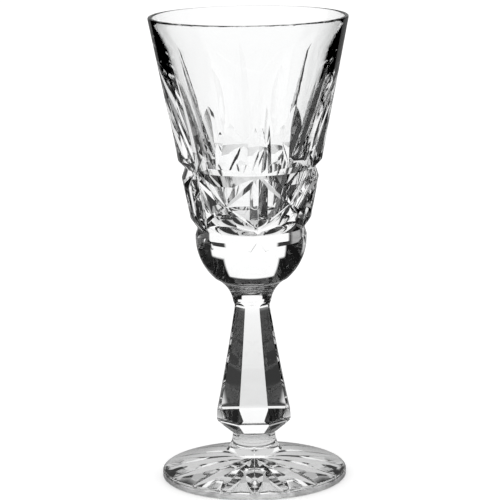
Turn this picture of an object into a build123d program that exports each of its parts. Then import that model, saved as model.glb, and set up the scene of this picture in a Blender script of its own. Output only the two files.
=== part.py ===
from build123d import *
from math import atan, atan2, cos, degrees, hypot, pi, radians, sin, sqrt, tan
import os

# Cut crystal sherry glass, in millimetres. Three gathers of clear glass are fused hot: a conical bowl
# on a thick solid base, an eight-sided baluster stem and a disc foot. The bowl is then wheel cut with
# rings, flutes and a band of crosses, and a star is cut under the foot.
# The origin is on the table, on the axis of the glass, and +Z is up. The glass faces -Y.

# Foot
foot_radius = 25.9
foot_edge_thickness = 2.2
foot_height = 7.4
foot_top_rounding = 0.9
foot_bottom_rounding = 0.5

# Star under the foot
star_rays = 16
star_inner_radius = 2.2
star_outer_radius = 24.2
star_depth = 1.0
star_mitre_angle = 130.0

# Stem, with lengths measured along it from the foot
stem_length = 49.6
collar_radius = 7.8
collar_length = 4.5
waist_radius = 6.0
waist_length = 1.0
shoulder_flat_radius = 10.5
shoulder_drop = 4.1
shoulder_rounding = 2.0
stem_sides = 8
neck_flat_radius = 4.8
neck_drop = 8.0
facet_hollow = 0.2
facet_run_out_radius = 2.0

# Bowl, with heights measured from where it is fused to the stem
bowl_height = 73.0
joint_radius = 10.2
bulb_radius = 15.45
band_foot_radius = 16.2
rim_radius = 27.6
lip_wall = 1.2
lip_rounding = 0.5
cavity_bend_drop = 4.5
cavity_bend_wall = 1.32
cavity_bend_rounding = 50.0
cavity_floor_height = 14.8
cavity_floor_radius = 6.2
cavity_floor_rounding = 8.4

# Lower ring cut, between the bulb and the band
lower_ring_height = 14.4
lower_ring_depth = 1.4
lower_ring_rise = 2.8
lower_ring_drop = 2.1

# Upper ring cut, between the band and the flutes
upper_ring_height = 31.4
upper_ring_depth = 1.5
upper_ring_rise = 2.0
upper_ring_drop = 2.9

# Upright and crossed cuts of the bowl. The panels are counted round the bowl, and the first upright
# cut is turned this far from the front, towards +X. A blunt wheel cuts the flutes, and a sharper one
# cuts the splits and the arms of the crosses.
panels = 6
first_cut_angle = 7.0
blunt_mitre_angle = 148.0
sharp_mitre_angle = 135.0
tall_flute_length = 27.6
tall_flute_depth = 1.2
short_flute_height = 42.2
short_flute_half_length = 8.8
short_flute_depth = 1.05
short_flute_shift = -5.0
split_depth = 1.15
arm_depth = 1.0
arm_start_depth = 0.15
arm_overlap = 0.4

# Cutters stand this far out of the glass
cutter_height = 3.5
cutter_overrun = 3.0

# Heights above the table
stem_base = foot_height
bowl_base = stem_base + stem_length
rim_height = bowl_base + bowl_height
waist_base = stem_base + collar_length
waist_top = waist_base + waist_length
shoulder_height = waist_top + shoulder_drop
neck_height = bowl_base - neck_drop
cavity_floor = bowl_base + cavity_floor_height
cavity_bend = rim_height - cavity_bend_drop
short_flute_middle = bowl_base + short_flute_height
lower_ring = bowl_base + lower_ring_height
upper_ring = bowl_base + upper_ring_height

# The bowl's straight cone runs from the lower ring to the rim
cone_slope = (rim_radius - band_foot_radius) / (rim_height - lower_ring)
cone_angle = atan(cone_slope)


def cone_radius(height):
    """Radius of the bowl's uncut cone at a height above the table."""
    return band_foot_radius + cone_slope * (height - lower_ring)


def cone_frame(angle, height):
    """Point on the uncut cone, the way out of the glass there, the way up it and the way round it."""
    turn = radians(angle)
    radial = Vector(sin(turn), -cos(turn), 0)
    around = Vector(cos(turn), sin(turn), 0)
    upright = Vector(0, 0, 1)
    outward = radial * cos(cone_angle) - upright * sin(cone_angle)
    upward = radial * sin(cone_angle) + upright * cos(cone_angle)
    point = radial * cone_radius(height) + upright * height
    return point, outward, upward, around


def mitre_section(angle):
    """V of a mitre wheel's edge, with its point at the origin and its mouth towards +X."""
    mouth = cutter_height * tan(radians(angle / 2))
    Polyline((0, 0), (cutter_height, -mouth), (cutter_height, mouth), close=True)


def valley_plane(valley, outward, along):
    """Sketch plane square to a cut's way, with +X out of the glass."""
    return Plane(origin=valley, x_dir=outward, z_dir=along)


# Foot: a low cone with a rounded edge and a flat land on top, where the stem is fused to it
with BuildPart() as foot:
    with BuildSketch(Plane.XZ) as foot_profile:
        with BuildLine():
            Polyline(
                (0, 0),
                (foot_radius, 0),
                (foot_radius, foot_edge_thickness),
                (collar_radius, foot_height),
                (0, foot_height),
                close=True,
            )
        make_face()
        edge_corners = foot_profile.vertices().group_by(Axis.X)[-1].sort_by(Axis.Y)
        fillet(edge_corners[0], foot_bottom_rounding)
        top_corner = foot_profile.vertices().filter_by_position(
            Axis.X, foot_radius, foot_radius
        ).sort_by(Axis.Y)[-1]
        fillet(top_corner, foot_top_rounding)
    revolve(axis=Axis.Z)

# One ray of the star: a V wheel touches the flat underside from below and leaves at both tips
star_half_length = (star_outer_radius - star_inner_radius) / 2
star_middle = (star_outer_radius + star_inner_radius) / 2
star_wheel_radius = (star_half_length**2 + star_depth**2) / (2 * star_depth)
star_wheel_axis = Axis((star_middle, 0, star_depth - star_wheel_radius), (0, 1, 0))
star_reach = degrees(atan2(star_half_length + cutter_overrun / 2, star_wheel_radius - star_depth))

with BuildPart() as star_ray:
    with BuildSketch(valley_plane((star_middle, 0, star_depth), (0, 0, -1), (1, 0, 0))):
        with BuildLine():
            mitre_section(star_mitre_angle)
        make_face()
    revolve(axis=star_wheel_axis, revolution_arc=star_reach)
    mirror(about=Plane.YZ.offset(star_middle))

with BuildPart() as cut_foot:
    add(foot.part)
    with PolarLocations(0, star_rays):
        add(star_ray.part, mode=Mode.SUBTRACT)

# Stem: a round blank with a collar, a waist and a trumpet flare, cut to flat sides between them
blank_shoulder_radius = shoulder_flat_radius / cos(pi / stem_sides) + shoulder_rounding / 2
blank_neck_radius = neck_flat_radius / cos(pi / stem_sides)
flare_rise = bowl_base - neck_height
flare_spread = joint_radius - blank_neck_radius
flare_radius = (flare_rise**2 + flare_spread**2) / (2 * flare_spread)
collar_spread = collar_radius - waist_radius
collar_curve_radius = (collar_length**2 + collar_spread**2) / (2 * collar_spread)
facet_middle = (shoulder_height + neck_height) / 2
facet_middle_radius = (shoulder_flat_radius + neck_flat_radius) / 2 - facet_hollow
run_out_angle = radians(60)

with BuildPart() as stem:
    with BuildSketch(Plane.XZ):
        with BuildLine():
            Line((0, stem_base), (collar_radius, stem_base))
            RadiusArc((collar_radius, stem_base), (waist_radius, waist_base), collar_curve_radius)
            Polyline(
                (waist_radius, waist_base),
                (waist_radius, waist_top),
                (blank_shoulder_radius, waist_top + shoulder_drop / 2),
                (blank_shoulder_radius, shoulder_height + shoulder_rounding),
                (blank_neck_radius, neck_height),
            )
            RadiusArc((blank_neck_radius, neck_height), (joint_radius, bowl_base), flare_radius)
            Polyline((joint_radius, bowl_base), (0, bowl_base), (0, stem_base))
        make_face()
    revolve(axis=Axis.Z)

    # Each pair of opposite flats is one outline, cut straight through the blank
    for pair in range(stem_sides // 2):
        turn = 2 * pi * pair / stem_sides
        flats = Plane(origin=(0, 0, 0), x_dir=(cos(turn), sin(turn), 0), z_dir=(sin(turn), -cos(turn), 0))
        with BuildSketch(flats) as outline:
            with BuildLine():
                Polyline(
                    (0, stem_base),
                    (blank_shoulder_radius, stem_base),
                    (blank_shoulder_radius, waist_top),
                    (waist_radius, waist_top),
                    (shoulder_flat_radius, shoulder_height),
                )
                ThreePointArc(
                    (shoulder_flat_radius, shoulder_height),
                    (facet_middle_radius, facet_middle),
                    (neck_flat_radius, neck_height),
                )
                run_out = CenterArc(
                    (neck_flat_radius + facet_run_out_radius, neck_height),
                    facet_run_out_radius,
                    180,
                    -degrees(run_out_angle),
                )
                Polyline(
                    run_out @ 1,
                    (blank_shoulder_radius + joint_radius, bowl_base),
                    (0, bowl_base),
                    (0, stem_base),
                )
            make_face()
            shoulder_corner = outline.vertices().filter_by_position(
                Axis.Y, shoulder_height, shoulder_height
            )
            fillet(shoulder_corner, shoulder_rounding)
            mirror(about=Plane.YZ)
        extrude(amount=2 * blank_shoulder_radius, both=True, mode=Mode.INTERSECT)

# Bowl: a solid round base, two V rings and a straight cone, hollowed from the rim to a round bottom
bulb_centre = bowl_base + sqrt(bulb_radius**2 - joint_radius**2)
bulb_top = lower_ring - lower_ring_drop
bulb_top_radius = sqrt(bulb_radius**2 - (bulb_top - bulb_centre) ** 2)
bulb_side_turn = radians(-25)
bulb_side = (bulb_radius * cos(bulb_side_turn), bulb_centre + bulb_radius * sin(bulb_side_turn))
lower_ring_top = lower_ring + lower_ring_rise
upper_ring_bottom = upper_ring - upper_ring_drop
upper_ring_top = upper_ring + upper_ring_rise

with BuildPart() as bowl:
    with BuildSketch(Plane.XZ) as bowl_profile:
        with BuildLine():
            Line((0, bowl_base), (joint_radius, bowl_base))
            ThreePointArc((joint_radius, bowl_base), bulb_side, (bulb_top_radius, bulb_top))
            Polyline(
                (bulb_top_radius, bulb_top),
                (cone_radius(lower_ring) - lower_ring_depth, lower_ring),
                (cone_radius(lower_ring_top), lower_ring_top),
                (cone_radius(upper_ring_bottom), upper_ring_bottom),
                (cone_radius(upper_ring) - upper_ring_depth, upper_ring),
                (cone_radius(upper_ring_top), upper_ring_top),
                (rim_radius, rim_height),
                (rim_radius - lip_wall, rim_height),
                (cone_radius(cavity_bend) - cavity_bend_wall, cavity_bend),
                (cavity_floor_radius, cavity_floor),
                (0, cavity_floor),
                (0, bowl_base),
            )
        make_face()
        fillet(bowl_profile.vertices().group_by(Axis.Y)[-1], lip_rounding)
        floor_corner = bowl_profile.vertices().filter_by_position(
            Axis.Y, cavity_floor, cavity_floor
        ).sort_by(Axis.X)[-1]
        fillet(floor_corner, cavity_floor_rounding)
        bend_corner = bowl_profile.vertices().filter_by_position(Axis.Y, cavity_bend, cavity_bend)
        fillet(bend_corner, cavity_bend_rounding)
    revolve(axis=Axis.Z)


def flute(angle, height, length, depth, run_up):
    """Cutter of a flute, deepest at a height. It runs out up the bowl, and down it by the run-up's share."""
    deepest, outward, upward, around = cone_frame(angle, height)
    slant = length / cos(cone_angle)
    wheel_radius = (slant**2 + depth**2) / (2 * depth)
    centre = deepest + outward * (wheel_radius - depth)
    reach = (slant + cutter_overrun) / wheel_radius
    back = reach * run_up
    start_out = outward * cos(back) + upward * sin(back)
    start_up = upward * cos(back) - outward * sin(back)
    with BuildPart() as cutter:
        with BuildSketch(valley_plane(centre - start_out * wheel_radius, start_out, start_up)):
            with BuildLine():
                mitre_section(blunt_mitre_angle)
            make_face()
        revolve(axis=Axis(centre, start_up.cross(start_out)), revolution_arc=degrees(reach + back))
    return cutter.part


# Tall flute, up from the upper ring, and short flute, above the ring near the middle of a panel
panel_angle = 360 / panels
panel_middle = first_cut_angle + panel_angle / 2
tall_flute = flute(first_cut_angle, upper_ring, tall_flute_length, tall_flute_depth, 0)
short_flute = flute(
    panel_middle + short_flute_shift, short_flute_middle, short_flute_half_length, short_flute_depth, 1
)

# Split: an upright cut of even depth that parts two panels of the band, from ring to ring
band_slant = (upper_ring - lower_ring) / cos(cone_angle)
split_foot, outward, upward, around = cone_frame(first_cut_angle, lower_ring)

with BuildPart() as split:
    with BuildSketch(valley_plane(split_foot - outward * split_depth, outward, upward)):
        with BuildLine():
            mitre_section(sharp_mitre_angle)
        make_face()
    extrude(amount=band_slant)

# Cross: four arms that overlap in the middle of a panel, follow the round of the band and deepen to the
# pinches where the rings meet the splits
cross_height = (lower_ring + upper_ring) / 2
cross_middle, outward, upward, around = cone_frame(panel_middle, cross_height)
arm_run = cone_radius(cross_height) * radians(panel_angle / 2)
arm_length = hypot(arm_run, band_slant / 2)
arm_lean = atan2(arm_run, band_slant / 2)
arm_bulge_radius = cone_radius(cross_height) / cos(cone_angle) / sin(arm_lean) ** 2
arm_dive = (arm_depth - arm_start_depth) / arm_length
arm_sweep = (arm_length + arm_overlap) / arm_bulge_radius

with BuildPart() as cross:
    for side, rise in ((1, 1), (1, -1), (-1, 1), (-1, -1)):
        along = upward * cos(arm_lean) * rise + around * sin(arm_lean) * side
        dive_along = along * cos(arm_dive) - outward * sin(arm_dive)
        dive_out = outward * cos(arm_dive) + along * sin(arm_dive)
        arm_start = cross_middle - outward * arm_start_depth - dive_along * arm_overlap
        arm_axis = Axis(arm_start - dive_out * arm_bulge_radius, dive_out.cross(dive_along))
        with BuildSketch(valley_plane(arm_start, dive_out, dive_along)):
            with BuildLine():
                mitre_section(sharp_mitre_angle)
            make_face()
        revolve(axis=arm_axis, revolution_arc=degrees(arm_sweep))

with BuildPart() as cut_bowl:
    add(bowl.part)
    with PolarLocations(0, panels):
        add(tall_flute, mode=Mode.SUBTRACT)
        add(short_flute, mode=Mode.SUBTRACT)
        add(split.part, mode=Mode.SUBTRACT)
        add(cross.part, mode=Mode.SUBTRACT)

os.makedirs("parts", exist_ok=True)
cut_foot.part.label = "foot"
export_step(cut_foot.part, "parts/foot.step")
stem.part.label = "stem"
export_step(stem.part, "parts/stem.step")
cut_bowl.part.label = "bowl"
export_step(cut_bowl.part, "parts/bowl.step")
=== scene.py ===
import bpy
from math import asin, atan, atan2, cos, hypot, pi, radians, sin, sqrt, tan
from mathutils import Matrix, Vector


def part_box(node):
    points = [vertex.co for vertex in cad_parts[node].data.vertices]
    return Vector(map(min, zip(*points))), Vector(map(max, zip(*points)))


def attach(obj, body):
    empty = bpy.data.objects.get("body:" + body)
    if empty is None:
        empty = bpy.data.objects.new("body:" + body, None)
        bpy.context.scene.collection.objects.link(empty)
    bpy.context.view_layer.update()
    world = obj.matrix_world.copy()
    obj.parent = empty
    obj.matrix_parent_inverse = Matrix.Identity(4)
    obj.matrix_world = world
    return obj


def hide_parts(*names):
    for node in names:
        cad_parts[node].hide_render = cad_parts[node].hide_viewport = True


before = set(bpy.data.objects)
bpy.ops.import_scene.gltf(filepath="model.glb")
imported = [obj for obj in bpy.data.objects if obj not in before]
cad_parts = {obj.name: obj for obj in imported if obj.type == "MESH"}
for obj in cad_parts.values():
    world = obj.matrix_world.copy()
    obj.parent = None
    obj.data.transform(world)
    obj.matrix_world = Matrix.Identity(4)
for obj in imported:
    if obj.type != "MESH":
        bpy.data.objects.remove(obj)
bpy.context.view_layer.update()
bpy.context.scene.view_settings.view_transform = "Standard"

# Bowl: a gather of clear lead crystal, blown to a cone over a thick solid base and left round below.
# A mitre wheel then cuts two rings, six upright splits that run up into tall flutes, six short flutes
# and a cross in each panel of the band, and every cut is polished bright.
mm = 0.001
bowl_low, bowl_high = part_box("bowl")
bowl_base = bowl_low[2]
rim_height = bowl_high[2]
joint_radius = 10.2 * mm
bulb_radius = 15.45 * mm
rim_radius = 27.6 * mm
band_foot_radius = 16.2 * mm
lip_wall = 1.2 * mm
lip_rounding = 0.5 * mm
cavity_floor = bowl_base + 14.8 * mm
cavity_floor_radius = 6.2 * mm
cavity_floor_rounding = 8.4 * mm
cavity_bend_height = rim_height - 4.5 * mm
cavity_bend_wall = 1.32 * mm
cavity_bend_rounding = 50.0 * mm
lower_ring = bowl_base + 14.4 * mm
lower_ring_depth = 1.4 * mm
lower_ring_rise = 2.8 * mm
lower_ring_drop = 2.1 * mm
upper_ring = bowl_base + 31.4 * mm
upper_ring_depth = 1.5 * mm
upper_ring_rise = 2.0 * mm
upper_ring_drop = 2.9 * mm
panels = 6
first_cut_turn = radians(7.0)
blunt_spread = tan(radians(148 / 2))
sharp_spread = tan(radians(135 / 2))
mitre_blunt = 0.06 * mm
tall_flute_length = 27.6 * mm
tall_flute_depth = 1.2 * mm
short_flute_middle = bowl_base + 42.2 * mm
short_flute_half_length = 8.8 * mm
short_flute_depth = 1.05 * mm
short_flute_shift = radians(-5)
split_depth = 1.15 * mm
arm_depth = 1.0 * mm
arm_start_depth = 0.15 * mm
arm_overlap = 0.4 * mm
wheel_height = 2.5 * mm
wheel_overrun = 3.0 * mm
wheel_steps = 40
turning_steps = 288
weld_distance = 0.0001 * mm
smooth_below = radians(12)
cone_slope = (rim_radius - band_foot_radius) / (rim_height - lower_ring)
cone_angle = atan(cone_slope)


def cone_radius(height):
    """Radius of the bowl's uncut cone at a height."""
    return band_foot_radius + cone_slope * (height - lower_ring)


def rounded_corner(before, corner, after, radius, steps=8):
    """Points of an arc that rounds one corner of an outline."""
    into = (Vector(before) - Vector(corner)).normalized()
    out = (Vector(after) - Vector(corner)).normalized()
    half = into.angle(out) / 2
    centre = Vector(corner) + (into + out).normalized() * radius / sin(half)
    start = Vector(corner) + into * radius / tan(half) - centre
    end = Vector(corner) + out * radius / tan(half) - centre
    sweep = start.angle_signed(end)
    return [tuple(centre + Matrix.Rotation(-sweep * n / steps, 2) @ start) for n in range(steps + 1)]


def arc(centre, radius, start, end, steps):
    """Points on an arc of an outline, from one angle to another."""
    turns = [start + (end - start) * n / steps for n in range(steps + 1)]
    return [(centre[0] + radius * cos(turn), centre[1] + radius * sin(turn)) for turn in turns]


def drawn(name, points):
    """A chain of vertices drawn point by point, left selected in edit mode."""
    bpy.ops.object.select_all(action="DESELECT")
    bpy.ops.mesh.primitive_plane_add(size=1 * mm)
    piece = bpy.context.object
    piece.name = name
    piece.data.name = name
    bpy.ops.object.mode_set(mode="EDIT")
    bpy.ops.mesh.select_all(action="SELECT")
    bpy.ops.mesh.merge(type="CENTER")
    bpy.ops.transform.translate(value=points[0])
    for here, there in zip(points, points[1:]):
        bpy.ops.mesh.extrude_region_move(TRANSFORM_OT_translate={"value": Vector(there) - Vector(here)})
    bpy.ops.mesh.select_all(action="SELECT")
    return piece


def closed():
    """Ends edit mode on a clean solid whose faces look outward."""
    bpy.ops.mesh.select_all(action="SELECT")
    bpy.ops.mesh.remove_doubles(threshold=weld_distance)
    bpy.ops.mesh.normals_make_consistent(inside=False)
    bpy.ops.object.mode_set(mode="OBJECT")


def turned(name, outline, steps, turn=0.0):
    """A solid turned about the axis of the glass from an outline of radius and height."""
    piece = drawn(name, [(radius * cos(turn), radius * sin(turn), height) for radius, height in outline])
    bpy.ops.mesh.spin(steps=steps, angle=2 * pi, center=(0, 0, 0), axis=(0, 0, 1))
    closed()
    return piece


def mitre(name, valley, outward, along, spread):
    """The V of a wheel's edge, with its slightly blunt tip, filled and left selected in edit mode."""
    side = along.cross(outward)
    mouth = valley + outward * wheel_height
    half = wheel_height * spread + mitre_blunt
    cutter = drawn(name, [
        valley - side * mitre_blunt,
        mouth - side * half,
        mouth + side * half,
        valley + side * mitre_blunt,
    ])
    bpy.ops.mesh.edge_face_add()
    return cutter


def repeated(cutter, count):
    """The cutter and its copies, evenly round the axis."""
    copies = [cutter]
    for number in range(1, count):
        bpy.ops.object.select_all(action="DESELECT")
        cutter.select_set(True)
        bpy.context.view_layer.objects.active = cutter
        bpy.ops.object.duplicate()
        copy = bpy.context.object
        copy.matrix_world = Matrix.Rotation(2 * pi * number / count, 4, "Z")
        copies.append(copy)
    return copies


def shape_with(piece, cutters, operation):
    """Cuts the piece, or keeps what lies in the cutters, which go. The piece is left selected."""
    tray = bpy.data.collections.new("cutters")
    bpy.context.scene.collection.children.link(tray)
    for cutter in cutters:
        tray.objects.link(cutter)
    shaping = piece.modifiers.new("shaping", "BOOLEAN")
    shaping.operation = operation
    shaping.solver = "MANIFOLD"
    shaping.operand_type = "COLLECTION"
    shaping.collection = tray
    bpy.ops.object.select_all(action="DESELECT")
    piece.select_set(True)
    bpy.context.view_layer.objects.active = piece
    bpy.ops.object.modifier_apply(modifier="shaping")
    for cutter in cutters:
        bpy.data.objects.remove(cutter)
    bpy.data.collections.remove(tray)
    piece.data.materials.clear()


def cone_frame(turn, height):
    """Point on the uncut cone, with the ways out of the glass, up it and round it."""
    radial = Vector((sin(turn), -cos(turn), 0))
    around = Vector((cos(turn), sin(turn), 0))
    upright = Vector((0, 0, 1))
    outward = radial * cos(cone_angle) - upright * sin(cone_angle)
    upward = radial * sin(cone_angle) + upright * cos(cone_angle)
    return radial * cone_radius(height) + upright * height, outward, upward, around


bulb_centre = bowl_base + sqrt(bulb_radius**2 - joint_radius**2)
bulb_bottom_turn = asin((bowl_base - bulb_centre) / bulb_radius)
bulb_top_turn = asin((lower_ring - lower_ring_drop - bulb_centre) / bulb_radius)
lower_ring_top = lower_ring + lower_ring_rise
upper_ring_bottom = upper_ring - upper_ring_drop
upper_ring_top = upper_ring + upper_ring_rise
rim_outer = (rim_radius, rim_height)
rim_inner = (rim_radius - lip_wall, rim_height)
cavity_bend = (cone_radius(cavity_bend_height) - cavity_bend_wall, cavity_bend_height)
cavity_corner = (cavity_floor_radius, cavity_floor)
bowl_outline = [
    (0, bowl_base),
    *arc((0, bulb_centre), bulb_radius, bulb_bottom_turn, bulb_top_turn, steps=40),
    (cone_radius(lower_ring) - lower_ring_depth, lower_ring),
    (cone_radius(lower_ring_top), lower_ring_top),
    (cone_radius(upper_ring_bottom), upper_ring_bottom),
    (cone_radius(upper_ring) - upper_ring_depth, upper_ring),
    (cone_radius(upper_ring_top), upper_ring_top),
    *rounded_corner((cone_radius(upper_ring_top), upper_ring_top), rim_outer, rim_inner, lip_rounding),
    *rounded_corner(rim_outer, rim_inner, cavity_bend, lip_rounding),
    *rounded_corner(rim_inner, cavity_bend, cavity_corner, cavity_bend_rounding, steps=16),
    *rounded_corner(cavity_bend, cavity_corner, (0, cavity_floor), cavity_floor_rounding, steps=24),
    (0, cavity_floor),
]
bowl = turned("cut_bowl", bowl_outline, turning_steps)


def flute(name, turn, height, length, depth, run_up):
    """A flute that is deepest at a height and runs out up the bowl, and down it where it has a run-up."""
    deepest, outward, upward = cone_frame(turn, height)[:3]
    slant = length / cos(cone_angle)
    wheel_radius = (slant**2 + depth**2) / (2 * depth)
    centre = deepest + outward * (wheel_radius - depth)
    back = (slant + wheel_overrun) / wheel_radius * run_up
    start_out = outward * cos(back) + upward * sin(back)
    start_up = upward * cos(back) - outward * sin(back)
    cutter = mitre(name, centre - start_out * wheel_radius, start_out, start_up, blunt_spread)
    reach = (slant + wheel_overrun) / wheel_radius + back
    bpy.ops.mesh.spin(steps=wheel_steps, angle=-reach, center=centre, axis=start_up.cross(start_out))
    closed()
    return cutter


def split():
    """An upright that parts two panels of the band, from ring to ring."""
    ring_point, outward, upward = cone_frame(first_cut_turn, lower_ring)[:3]
    cutter = mitre("split", ring_point - outward * split_depth, outward, upward, sharp_spread)
    way = upward * (upper_ring - lower_ring) / cos(cone_angle)
    bpy.ops.mesh.extrude_region_move(TRANSFORM_OT_translate={"value": way})
    closed()
    return cutter


panel_turn = 2 * pi / panels
band_middle = (lower_ring + upper_ring) / 2
arm_rise = (upper_ring - lower_ring) / cos(cone_angle) / 2
arm_run = cone_radius(band_middle) * panel_turn / 2


def arm(side, rise):
    """One arm of a cross, deepening from the middle of its panel to where a ring meets a split."""
    middle, outward, upward, around = cone_frame(first_cut_turn + panel_turn / 2, band_middle)
    lean = atan2(arm_run, arm_rise)
    bulge = cone_radius(band_middle) / cos(cone_angle) / sin(lean) ** 2
    along = upward * cos(lean) * rise + around * sin(lean) * side
    length = hypot(arm_run, arm_rise)
    dive = (arm_depth - arm_start_depth) / length
    dive_along = along * cos(dive) - outward * sin(dive)
    dive_outward = outward * cos(dive) + along * sin(dive)
    valley = middle - outward * arm_start_depth - dive_along * arm_overlap
    centre = valley - dive_outward * bulge
    cutter = mitre("arm", valley, dive_outward, dive_along, sharp_spread)
    sweep = (length + arm_overlap) / bulge
    bpy.ops.mesh.spin(steps=wheel_steps, angle=sweep, center=centre, axis=dive_along.cross(dive_outward))
    closed()
    return cutter


short_flute_turn = first_cut_turn + panel_turn / 2 + short_flute_shift
cuts = [
    flute("tall_flute", first_cut_turn, upper_ring, tall_flute_length, tall_flute_depth, run_up=0),
    flute(
        "short_flute",
        short_flute_turn,
        short_flute_middle,
        short_flute_half_length,
        short_flute_depth,
        run_up=1,
    ),
    split(),
    arm(1, 1),
    arm(1, -1),
    arm(-1, 1),
    arm(-1, -1),
]
cutters = []
for cut in cuts:
    cutters += repeated(cut, panels)
shape_with(bowl, cutters, "DIFFERENCE")
bpy.ops.object.shade_smooth_by_angle(angle=smooth_below)

tint = (0.995, 0.998, 0.998, 1)
crystal_ior = 1.545
wave_scale = (900, 900, 150)
wave_detail = 2.0
wave_depth = 0.002 * mm
joint_slack = 0.01 * mm


def maths(tree, operation, *values):
    """A math node on sockets or numbers, and its result."""
    node = tree.nodes.new("ShaderNodeMath")
    node.operation = operation
    for socket, value in zip(node.inputs, values):
        if isinstance(value, (int, float)):
            socket.default_value = value
        else:
            tree.links.new(value, socket)
    return node.outputs[0]


def axes_of(tree, place):
    """The X, Y and Z of a place or a direction."""
    node = tree.nodes.new("ShaderNodeSeparateXYZ")
    tree.links.new(place, node.inputs[0])
    return node.outputs


def crystal(name, joints):
    """Clear polished crystal, faintly waved by hand polishing, and one glass across its fused joints."""
    material = bpy.data.materials.new(name)
    material.use_nodes = True
    tree = material.node_tree
    shader = tree.nodes["Principled BSDF"]
    shader.inputs["Base Color"].default_value = tint
    shader.inputs["Roughness"].default_value = 0.0
    shader.inputs["IOR"].default_value = crystal_ior
    shader.inputs["Transmission Weight"].default_value = 1.0
    place = tree.nodes.new("ShaderNodeTexCoord").outputs["Object"]

    stretched = tree.nodes.new("ShaderNodeMapping")
    stretched.inputs["Scale"].default_value = wave_scale
    tree.links.new(place, stretched.inputs["Vector"])
    waves = tree.nodes.new("ShaderNodeTexNoise")
    waves.inputs["Scale"].default_value = 1.0
    waves.inputs["Detail"].default_value = wave_detail
    tree.links.new(stretched.outputs[0], waves.inputs["Vector"])
    polish = tree.nodes.new("ShaderNodeBump")
    polish.inputs["Strength"].default_value = 1.0
    polish.inputs["Distance"].default_value = wave_depth
    tree.links.new(waves.outputs[0], polish.inputs["Height"])
    tree.links.new(polish.outputs[0], shader.inputs["Normal"])

    height = axes_of(tree, place)["Z"]
    fused = maths(tree, "COMPARE", height, joints[0], joint_slack)
    for joint in joints[1:]:
        fused = maths(tree, "ADD", fused, maths(tree, "COMPARE", height, joint, joint_slack))
    clear = tree.nodes.new("ShaderNodeBsdfTransparent")
    whole = tree.nodes.new("ShaderNodeMixShader")
    tree.links.new(fused, whole.inputs[0])
    tree.links.new(shader.outputs[0], whole.inputs[1])
    tree.links.new(clear.outputs[0], whole.inputs[2])
    tree.links.new(whole.outputs[0], tree.nodes["Material Output"].inputs["Surface"])
    return material


bowl.data.materials.append(crystal("bowl_crystal", [bowl_base]))
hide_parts("bowl")
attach(bowl, "root")

# Stem: a second gather, drawn out to a baluster with a trumpet flare under the bowl and a collar on
# the foot. Eight flats are cut along it and eight more under its shoulder.
stem_low, stem_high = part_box("stem")
stem_base = stem_low[2]
collar_radius = 7.8 * mm
waist_radius = 6.0 * mm
waist_base = stem_base + 4.5 * mm
waist_top = waist_base + 1.0 * mm
shoulder_flat_radius = 10.5 * mm
shoulder_height = waist_top + 4.1 * mm
shoulder_rounding = 2.0 * mm
stem_sides = 8
neck_flat_radius = 4.8 * mm
neck_height = stem_high[2] - 8.0 * mm
facet_hollow = 0.2 * mm
run_out_radius = 2.0 * mm
run_out_end = radians(120)
shoulder_points = 2
flats_lead_in = 0.05 * mm
flats_overrun = 1 * mm
corner_share = cos(pi / stem_sides)
blank_shoulder_radius = shoulder_flat_radius / corner_share + shoulder_rounding / 2
blank_neck_radius = neck_flat_radius / corner_share
flare_rise = stem_high[2] - neck_height
flare_spread = joint_radius - blank_neck_radius
flare_radius = (flare_rise**2 + flare_spread**2) / (2 * flare_spread)
collar_rise = waist_base - stem_base
collar_spread = collar_radius - waist_radius
collar_curve = (collar_rise**2 + collar_spread**2) / (2 * collar_spread)
collar_centre = (waist_radius + collar_curve, waist_base)
collar_turn = asin(collar_rise / collar_curve)
flare_centre = (blank_neck_radius + flare_radius, neck_height)
flare_turn = asin(flare_rise / flare_radius)
waist_corner = (waist_radius, waist_top)
blank_outline = [
    (0, stem_base),
    *arc(collar_centre, collar_curve, pi + collar_turn, pi, steps=16),
    waist_corner,
    (blank_shoulder_radius, (waist_top + shoulder_height) / 2),
    (blank_shoulder_radius, shoulder_height + shoulder_rounding),
    *arc(flare_centre, flare_radius, pi, pi - flare_turn, steps=32),
    (0, stem_high[2]),
]
stem = turned("cut_stem", blank_outline, turning_steps)

facet_half = hypot(neck_height - shoulder_height, shoulder_flat_radius - neck_flat_radius) / 2
facet_curve = (facet_half**2 + facet_hollow**2) / (2 * facet_hollow)
facet_middle = Vector((shoulder_flat_radius + neck_flat_radius, shoulder_height + neck_height)) / 2
facet_way = Vector((neck_flat_radius - shoulder_flat_radius, neck_height - shoulder_height)).normalized()
facet_centre = facet_middle + Vector((facet_way[1], -facet_way[0])) * (facet_curve - facet_hollow)
facet_start = atan2(shoulder_height - facet_centre[1], shoulder_flat_radius - facet_centre[0]) % (2 * pi)
facet_end = atan2(neck_height - facet_centre[1], neck_flat_radius - facet_centre[0]) % (2 * pi)
facet_line = arc(facet_centre, facet_curve, facet_start, facet_end, steps=16)
# The rounding of the shoulder takes up the first points of the facet's line.
shoulder_end = facet_line[shoulder_points]
run_out_centre = (neck_flat_radius + run_out_radius, neck_height)
flats_outline = [
    (0, stem_base - flats_overrun),
    (blank_shoulder_radius, stem_base - flats_overrun),
    (blank_shoulder_radius, waist_top - flats_lead_in),
    waist_corner,
    *rounded_corner(waist_corner, facet_line[0], shoulder_end, shoulder_rounding, steps=10),
    *facet_line[shoulder_points:],
    *arc(run_out_centre, run_out_radius, pi, run_out_end, steps=12)[1:],
    (2 * blank_shoulder_radius, stem_high[2] + flats_overrun),
    (0, stem_high[2] + flats_overrun),
]
flats_outline = [(radius / corner_share, height) for radius, height in flats_outline]
flats = turned("flats", flats_outline, stem_sides, pi / stem_sides)
shape_with(stem, [flats], "INTERSECT")
bpy.ops.object.shade_smooth_by_angle(angle=smooth_below)
stem.data.materials.append(crystal("stem_crystal", [stem_base, stem_high[2]]))
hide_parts("stem")
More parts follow.
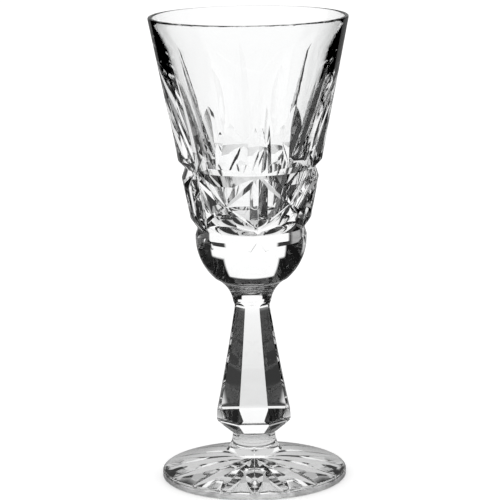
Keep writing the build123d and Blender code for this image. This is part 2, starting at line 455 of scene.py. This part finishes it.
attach(stem, "root")

# Foot: a third gather, spread to a low cone with a rounded edge that is ground dull below. A 16-ray star
# is cut into its flat underside, and the ring round the star is what the glass stands on.
foot_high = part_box("foot")[1]
foot_radius = foot_high[0]
foot_edge = 2.2 * mm
foot_top = foot_high[2]
foot_top_rounding = 0.9 * mm
foot_bottom_rounding = 0.5 * mm
star_rays = 16
star_inner = 2.2 * mm
star_outer = 24.2 * mm
star_depth = 1.0 * mm
star_spread = tan(radians(130 / 2))
ground_radius = 24.6 * mm
ground_radius_fade = 0.2 * mm
ground_height = 1.6 * mm
ground_height_fade = 0.15 * mm
ground_roughness = 0.45
edge_top = (foot_radius, foot_edge)
edge_bottom = (foot_radius, 0)
foot_outline = [
    (0, 0),
    *rounded_corner((0, 0), edge_bottom, edge_top, foot_bottom_rounding),
    *rounded_corner(edge_bottom, edge_top, (collar_radius, foot_top), foot_top_rounding),
    (collar_radius, foot_top),
    (0, foot_top),
]
foot = turned("star_foot", foot_outline, turning_steps)
star_half = (star_outer - star_inner) / 2
star_middle = (star_outer + star_inner) / 2
star_wheel_radius = (star_half**2 + star_depth**2) / (2 * star_depth)
star_centre = Vector((star_middle, 0, star_depth - star_wheel_radius))
star_reach = atan2(star_half + wheel_overrun / 2, star_wheel_radius - star_depth)
star_start = star_centre + Vector((-sin(star_reach), 0, cos(star_reach))) * star_wheel_radius
star_out = (star_centre - star_start).normalized()
star_along = Vector((cos(star_reach), 0, sin(star_reach)))
ray = mitre("ray", star_start, star_out, star_along, star_spread)
ray_axis = star_along.cross(star_out)
bpy.ops.mesh.spin(steps=wheel_steps, angle=-2 * star_reach, center=star_centre, axis=ray_axis)
closed()
shape_with(foot, repeated(ray, star_rays), "DIFFERENCE")
bpy.ops.object.shade_smooth_by_angle(angle=smooth_below)


def ramp(tree, value, low, high):
    """Rises smoothly from 0 at low to 1 at high."""
    node = tree.nodes.new("ShaderNodeMapRange")
    node.interpolation_type = "SMOOTHSTEP"
    node.inputs["From Min"].default_value = low
    node.inputs["From Max"].default_value = high
    tree.links.new(value, node.inputs["Value"])
    return node.outputs["Result"]


def both(tree, first, second):
    """Two levels multiplied, so that one holds only where the other does."""
    return maths(tree, "MULTIPLY", first, second)


def from_axis(tree, axes):
    """How far a place is from the axis of the glass."""
    square_x = both(tree, axes["X"], axes["X"])
    square_y = both(tree, axes["Y"], axes["Y"])
    return maths(tree, "SQRT", maths(tree, "ADD", square_x, square_y))


foot_crystal = crystal("foot_crystal", [foot_top])
foot_tree = foot_crystal.node_tree
foot_axes = axes_of(foot_tree, foot_tree.nodes.new("ShaderNodeTexCoord").outputs["Object"])
ground_inside = ground_radius - ground_radius_fade
ground_outside = ground_radius + ground_radius_fade
ground_top = ground_height + ground_height_fade
ground_bottom = ground_height - ground_height_fade
outside = ramp(foot_tree, from_axis(foot_tree, foot_axes), ground_inside, ground_outside)
below = ramp(foot_tree, foot_axes["Z"], ground_top, ground_bottom)
ground = both(foot_tree, both(foot_tree, outside, below), ground_roughness)
foot_tree.links.new(ground, foot_tree.nodes["Principled BSDF"].inputs["Roughness"])
foot.data.materials.append(foot_crystal)
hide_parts("foot")
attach(foot, "root")

# Floor: a sheet of plain white paper that the glass stands on. Through the glass it glows as painted:
# bright far behind, painted shade close to the foot and beside the black cards, painted light from the
# gaps between them. Bearings are in degrees, from straight behind the glass round to the right.
floor_size = 4.0
floor_drop = 0.05 * mm
paper_colour = (0.85, 0.85, 0.85, 1)
paper_roughness = 0.8
paper_glow = 0.3
white = 1.1
# Painted shade: how dark the paper glows close to the foot, and beside the black cards.
painted_foot_shade = 0.72
painted_card_shade = 0.04
painted_gap_share = 0.78
painted_slit_share = 0.35
shade_reach = (20 * mm, 150 * mm)
foot_reach = (36 * mm, 30 * mm)
gap_reach = (60 * mm, 80 * mm)
far_reach = (110 * mm, 160 * mm)
far_limit = (700 * mm, 600 * mm)
behind_bearings = (-20, 20)
far_bearings = (-32, 38)
slit_bearings = (-55, -36)
slit_softness = 3
left_gap_bearings = (-112, -64)
left_gap_softness = 4
front_gap_bearings = (106, 114)
bpy.ops.object.select_all(action="DESELECT")
bpy.ops.mesh.primitive_plane_add(size=floor_size, location=(0, 0, -floor_drop))
floor = bpy.context.object
floor.name = "floor"
floor.visible_glossy = False
bpy.ops.object.transform_apply()
paper = bpy.data.materials.new("white_paper")
paper.use_nodes = True
paper_tree = paper.node_tree
paper_shader = paper_tree.nodes["Principled BSDF"]
paper_shader.inputs["Base Color"].default_value = paper_colour
paper_shader.inputs["Roughness"].default_value = paper_roughness
paper_shader.inputs["Emission Color"].default_value = (1, 1, 1, 1)
paper_shader.inputs["Emission Strength"].default_value = paper_glow


def past(tree, angle, start, full):
    """Rises from 0 to 1 between two angles in degrees."""
    return ramp(tree, angle, radians(start), radians(full))


def between(tree, angle, low, high, soft=1.5):
    """One between two angles in degrees, with soft edges, and zero outside them."""
    rise = past(tree, angle, low - soft, low + soft)
    fall = past(tree, angle, high + soft, high - soft)
    return both(tree, rise, fall)


def either(tree, first, second):
    """The greater of two levels."""
    return maths(tree, "MAXIMUM", first, second)


def blended(tree, under, over, share):
    """The level over laid on the level under, by its share."""
    keep = maths(tree, "SUBTRACT", 1.0, share)
    return maths(tree, "ADD", both(tree, under, keep), both(tree, over, share))


def light_gaps(tree, angle):
    """The gaps between the cards, on the left and behind the camera."""
    left = between(tree, angle, *left_gap_bearings, left_gap_softness)
    front = past(tree, maths(tree, "ABSOLUTE", angle), *front_gap_bearings)
    return either(tree, left, front)


paper_axes = axes_of(paper_tree, paper_tree.nodes.new("ShaderNodeTexCoord").outputs["Object"])
bearing = maths(paper_tree, "ARCTAN2", paper_axes["X"], paper_axes["Y"])
distance = from_axis(paper_tree, paper_axes)
painted_shadow_fade = paper_tree.nodes.new("ShaderNodeMapRange")
painted_shadow_fade.inputs["From Min"].default_value = shade_reach[0]
painted_shadow_fade.inputs["From Max"].default_value = shade_reach[1]
painted_shadow_fade.inputs["To Min"].default_value = painted_foot_shade
painted_shadow_fade.inputs["To Max"].default_value = white
paper_tree.links.new(distance, painted_shadow_fade.inputs["Value"])

under_foot = ramp(paper_tree, distance, *foot_reach)
straight_behind = between(paper_tree, bearing, *behind_bearings)
far_start = ramp(paper_tree, distance, *far_reach)
far_end = ramp(paper_tree, distance, *far_limit)
far_behind = both(paper_tree, far_start, far_end)
far_behind = both(paper_tree, far_behind, between(paper_tree, bearing, *far_bearings))
# Painted light: the paper glows brighter where the gaps and the slit between the cards would let light
# in.
painted_gap_light = both(paper_tree, light_gaps(paper_tree, bearing), painted_gap_share)
painted_gap_light = both(paper_tree, painted_gap_light, ramp(paper_tree, distance, *gap_reach))
painted_slit_light = both(paper_tree, between(paper_tree, bearing, *slit_bearings, slit_softness), painted_slit_share)
painted_gap_light = either(paper_tree, painted_gap_light, both(paper_tree, painted_slit_light, far_start))
open_paper = either(paper_tree, under_foot, straight_behind)
open_paper = either(paper_tree, open_paper, either(paper_tree, far_behind, painted_gap_light))
# The paper's glow for rays through the glass is painted shade and painted light laid out by place.
painted_glow_level = blended(paper_tree, painted_card_shade, painted_shadow_fade.outputs["Result"], open_paper)
painted_glow = paper_tree.nodes.new("ShaderNodeEmission")
paper_tree.links.new(painted_glow_level, painted_glow.inputs["Strength"])
paper_mix = paper_tree.nodes.new("ShaderNodeMixShader")
paper_rays = paper_tree.nodes.new("ShaderNodeLightPath").outputs
paper_tree.links.new(paper_rays["Is Transmission Ray"], paper_mix.inputs[0])
paper_tree.links.new(paper_shader.outputs[0], paper_mix.inputs[1])
paper_tree.links.new(painted_glow.outputs[0], paper_mix.inputs[2])
paper_tree.links.new(paper_mix.outputs[0], paper_tree.nodes["Material Output"].inputs["Surface"])
floor.data.materials.append(paper)

# Studio: white paper behind the glass, with black cards on both sides that draw its dark edges. Light
# also comes in low by gaps on the left and behind the camera, from a wall high on the right and from the
# ceiling. Only glass and polish see all this: the camera and the paper get plain white from everywhere.
room = 0.015
card = 0.008
gap = 0.85
lit_wall = 0.1
ceiling = 0.5
polish_share = 0.2
left_card_width = (-105, -26)
right_card_width = (22, 105)
card_softness = 4
overhead_rise = (26, 38)
wall_width = (60, 200)
wall_softness = 8
ceiling_width = (-60, 60)
ceiling_softness = 8
ceiling_rise = (44, 54)
gap_rise = (-30, 15)
gap_softness = 4
tall_paper_width = (-23, 23)
tall_paper_rise = (-120, 29)
low_paper_width = (-29, 37)
low_paper_rise = (-17, 8.5)
light_bounces = 8
studio = bpy.data.worlds.new("studio")
bpy.context.scene.world = studio
studio.use_nodes = True
tree = studio.node_tree
background = tree.nodes["Background"]
background.inputs["Color"].default_value = (1, 1, 1, 1)
direction = axes_of(tree, tree.nodes.new("ShaderNodeTexCoord").outputs["Generated"])
azimuth = maths(tree, "ARCTAN2", direction["X"], direction["Y"])
elevation = maths(tree, "ARCSINE", direction["Z"])
overhead = past(tree, elevation, *overhead_rise)
left_card = between(tree, azimuth, *left_card_width, card_softness)
right_card = between(tree, azimuth, *right_card_width, card_softness)
cards = both(tree, either(tree, left_card, right_card), maths(tree, "SUBTRACT", 1.0, overhead))
level = blended(tree, room, card, cards)
wall = both(tree, between(tree, azimuth, *wall_width, wall_softness), overhead)
level = blended(tree, level, lit_wall, wall)
high_up = past(tree, elevation, *ceiling_rise)
ceiling_place = both(tree, between(tree, azimuth, *ceiling_width, ceiling_softness), high_up)
level = blended(tree, level, ceiling, ceiling_place)
gap_place = both(tree, light_gaps(tree, azimuth), between(tree, elevation, *gap_rise, gap_softness))
level = blended(tree, level, gap, gap_place)
tall_sides = between(tree, azimuth, *tall_paper_width)
tall_paper = both(tree, tall_sides, between(tree, elevation, *tall_paper_rise))
low_sides = between(tree, azimuth, *low_paper_width)
low_paper = both(tree, low_sides, between(tree, elevation, *low_paper_rise))
level = blended(tree, level, white, either(tree, tall_paper, low_paper))
rays = tree.nodes.new("ShaderNodeLightPath").outputs
seen = blended(tree, 1.0, both(tree, level, polish_share), rays["Is Glossy Ray"])
seen = blended(tree, seen, level, rays["Is Transmission Ray"])
tree.links.new(seen, background.inputs["Strength"])
cycles = bpy.context.scene.cycles
cycles.max_bounces = light_bounces
cycles.glossy_bounces = light_bounces
cycles.transmission_bounces = light_bounces

# Camera: a long lens, a little above the rim and tilted down to the glass. Its place and turn were fitted
# to the ellipses of the rim and the foot.
focal_pixels = 2437
picture_pixels = 500
sensor_width = 36
camera_height = 198.7 * mm
camera_distance = 665 * mm
pitch = radians(11.40)
pan = radians(0.033)
roll = radians(0.83)
camera_data = bpy.data.cameras.new("camera")
camera = bpy.data.objects.new("camera", camera_data)
bpy.context.scene.collection.objects.link(camera)
camera_data.sensor_width = sensor_width
camera_data.lens = focal_pixels / picture_pixels * sensor_width
camera.matrix_world = (
    Matrix.Translation((0, -camera_distance, camera_height))
    @ Matrix.Rotation(pan, 4, "Z")
    @ Matrix.Rotation(pi / 2 - pitch, 4, "X")
    @ Matrix.Rotation(-roll, 4, "Z")
)
bpy.context.scene.camera = camera
